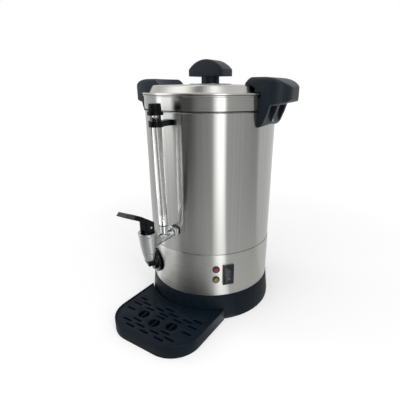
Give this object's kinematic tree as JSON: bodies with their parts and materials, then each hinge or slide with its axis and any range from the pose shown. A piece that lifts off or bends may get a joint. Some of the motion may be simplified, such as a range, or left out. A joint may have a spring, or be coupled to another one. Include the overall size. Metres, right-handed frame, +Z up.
{
  "type": "hot water urn",
  "caption": "Round double-walled hot water urn with a knobbed lid, side grips, a lever tap with a sight tube, a thermostat dial, a rocker switch and a drip tray.",
  "frame": {"origin": "on the table, under the tank's axis", "axes": "+Z up; -Y the tap's side, which faces the user; +X to the right of a user who faces the tap"},
  "size_m": [0.295, 0.348, 0.426],
  "materials": {
    "shell_steel": "vertically brushed, satin",
    "band_steel": "brushed round the band, satin",
    "lid_steel": "pressed and polished",
    "tank_steel": "drawn, satin",
    "washer_steel": "turned, satin",
    "cover_steel": "plain sheet",
    "screw_steel": "zinc plated",
    "pin_steel": "ground ends",
    "spring_steel": "drawn wire",
    "element_steel": "heat stained",
    "chrome": "polished",
    "satin_chrome": "satin",
    "aluminium": "cast, plain",
    "brass": "plain",
    "copper": "drawn, plain",
    "base_plastic": "fine grained, semi-matt",
    "handle_plastic": "moulded, soft sheen",
    "fitting_plastic": "moulded, semi-matt",
    "lever_plastic": "moulded, soft gloss",
    "dial_plastic": "moulded, soft gloss",
    "switch_plastic": "moulded, gloss",
    "gland_plastic": "moulded, matt",
    "housing_plastic": "moulded, matt",
    "seal_plastic": "natural, matt",
    "wire_cover": "insulation, semi-matt",
    "rubber": "moulded",
    "clear_tube": "clear, polished",
    "red_lens": "coloured, polished",
    "amber_lens": "coloured, polished"
  },
  "bodies": {
    "urn": {"outer_shell": "shell_steel", "inner_tank": "tank_steel", "base_band": "band_steel", "base_ring": "base_plastic", "bottom_cover": "cover_steel", "rubber_feet": "rubber", "cover_screws": "screw_steel", "handle_right": "handle_plastic", "handle_left": "handle_plastic", "handle_screws": "screw_steel", "tap_shank": "chrome", "shank_nut": "chrome", "tank_nut": "chrome", "shank_washers": "rubber", "shank_sleeve": "seal_plastic", "sight_tube": "clear_tube", "tube_seal": "rubber", "gauge_clip": "fitting_plastic", "clip_screw": "screw_steel", "tap_body": "satin_chrome", "tap_bonnet": "chrome", "thermostat_body": "housing_plastic", "thermostat_bulb": "copper", "switch_body": "switch_plastic", "lamp_bodies": "switch_plastic", "red_lens": "red_lens", "amber_lens": "amber_lens", "cord_gland": "gland_plastic", "gland_nut": "gland_plastic", "heater_plate": "aluminium", "heating_element": "element_steel", "heater_nut": "screw_steel", "thermal_cutouts": "housing_plastic", "terminal_block": "seal_plastic", "earth_stud": "brass", "earth_nut": "brass", "wires": "wire_cover"},
    "lid": {"lid": "lid_steel", "lid_knob": "handle_plastic", "knob_washer": "washer_steel", "knob_screw": "screw_steel"},
    "stem": {"tap_stem": "screw_steel", "seat_cup": "rubber", "tap_spring": "spring_steel", "lever_pin": "pin_steel"},
    "lever": {"tap_lever": "lever_plastic"},
    "dial": {"thermostat_dial": "dial_plastic", "thermostat_shaft": "screw_steel"},
    "rocker": {"switch_rocker": "switch_plastic"},
    "tray": {"drip_tray": "base_plastic"},
    "grille": {"drip_grille": "base_plastic"},
    "gauge_cap": {"gauge_cap": "fitting_plastic"}
  },
  "joints": [
    {"name": "lid_turn", "type": "hinge", "parent": "urn", "child": "lid", "pos_m": [0, 0, 0.38], "axis": [0, 0, 1], "continuous": true},
    {"name": "stem_slide", "type": "slide", "parent": "urn", "child": "stem", "axis": [0, 0, 1], "range_m": [0, 0.00275], "stiffness_N_per_m": 500, "springref_m": -0.001, "deforming": ["tap_spring"]},
    {"name": "lever_turn", "type": "hinge", "parent": "stem", "child": "lever", "pos_m": [0, -0.1745, 0.1945], "axis": [1, 0, 0], "range_deg": [0, 35]},
    {"name": "dial_turn", "type": "hinge", "parent": "urn", "child": "dial", "pos_m": [-0.0555, -0.09613, 0.088], "axis": [0.5, 0.866, 0], "range_deg": [0, 270]},
    {"name": "rocker_tilt", "type": "hinge", "parent": "urn", "child": "rocker", "pos_m": [0.07815, -0.07012, 0.0883], "axis": [0.6678, 0.7443, 0], "range_deg": [0, 14]},
    {"name": "tray_slide", "type": "slide", "parent": "urn", "child": "tray", "axis": [0, -1, 0], "range_m": [0, 0.06]},
    {"name": "grille_lift", "type": "slide", "parent": "tray", "child": "grille", "axis": [0, 0, 1], "range_m": [0, 0.04]},
    {"name": "cap_lift", "type": "slide", "parent": "urn", "child": "gauge_cap", "axis": [0, -0.0262, 0.9997], "range_m": [0, 0.012]}
  ],
  "couplings": [
    {"joint": "lever_turn", "follows": "stem_slide", "rad_per_m": 222}
  ]
}
